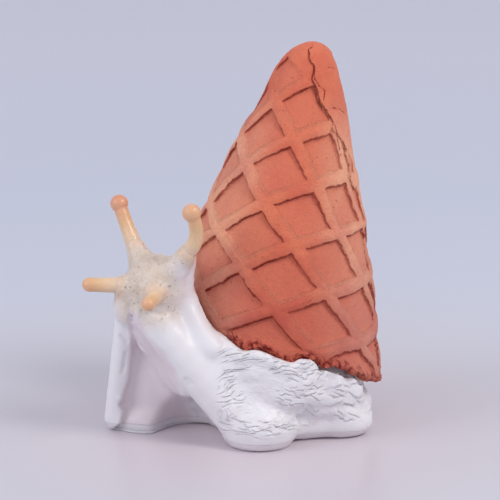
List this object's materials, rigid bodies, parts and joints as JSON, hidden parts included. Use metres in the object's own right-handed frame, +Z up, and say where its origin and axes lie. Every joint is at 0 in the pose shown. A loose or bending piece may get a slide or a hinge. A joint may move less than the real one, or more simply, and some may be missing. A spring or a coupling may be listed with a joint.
{
  "type": "snail figurine",
  "caption": "Standing snail figurine whose shell is a wafer-textured cone that lifts off a peg in its back; amber tentacles plug into the white head.",
  "frame": {"origin": "middle of the bounding box's base, on the surface that the figurine stands on", "axes": "+Z up, -Y towards the snail's front, +X towards the snail's left"},
  "size_m": [0.0308, 0.0468, 0.059],
  "materials": {
    "white_skin": "matte white soft vinyl, creased skin texture, cream paint on the head",
    "milky_sole": "smooth milky satin",
    "terracotta_wafer": "matte terracotta, waffle relief with darker grooves",
    "amber_tentacle": "translucent amber, glossy, fading to cream at the root",
    "natural_plastic": "plain unpainted moulding"
  },
  "bodies": {
    "snail_body": {"body_shell": "white_skin", "sole_plate": "milky_sole"},
    "turning_peg": {"cone_peg": "natural_plastic", "peg_retainer": "natural_plastic"},
    "cone": {"cone_shell": "terracotta_wafer", "cone_socket": "natural_plastic"},
    "left_eye_stalk": {"left_eye_stalk": "amber_tentacle"},
    "right_eye_stalk": {"right_eye_stalk": "amber_tentacle"},
    "left_feeler": {"left_feeler": "amber_tentacle"},
    "right_feeler": {"right_feeler": "amber_tentacle"}
  },
  "joints": [
    {"name": "cone_turn", "type": "hinge", "parent": "snail_body", "child": "turning_peg", "pos_m": [0.00031, 0.00823, 0], "axis": [0, 0, 1], "range_deg": [-5, 5]},
    {"name": "cone_lift", "type": "slide", "parent": "turning_peg", "child": "cone", "axis": [0, 0, 1], "range_m": [0, 0.025]},
    {"name": "left_eye_stalk_swivel", "type": "hinge", "parent": "snail_body", "child": "left_eye_stalk", "pos_m": [0.00416, -0.01119, 0.0302], "axis": [0.5855, 0.2849, 0.7589], "continuous": true},
    {"name": "right_eye_stalk_swivel", "type": "hinge", "parent": "snail_body", "child": "right_eye_stalk", "pos_m": [-0.00689, -0.01407, 0.0297], "axis": [-0.4985, -0.1126, 0.8595], "continuous": true},
    {"name": "left_feeler_swivel", "type": "hinge", "parent": "snail_body", "child": "left_feeler", "pos_m": [0.0023, -0.01648, 0.0235], "axis": [0.6875, -0.7196, -0.0976], "continuous": true},
    {"name": "right_feeler_swivel", "type": "hinge", "parent": "snail_body", "child": "right_feeler", "pos_m": [-0.00431, -0.01893, 0.02425], "axis": [-0.4169, -0.9065, 0.0669], "continuous": true}
  ]
}
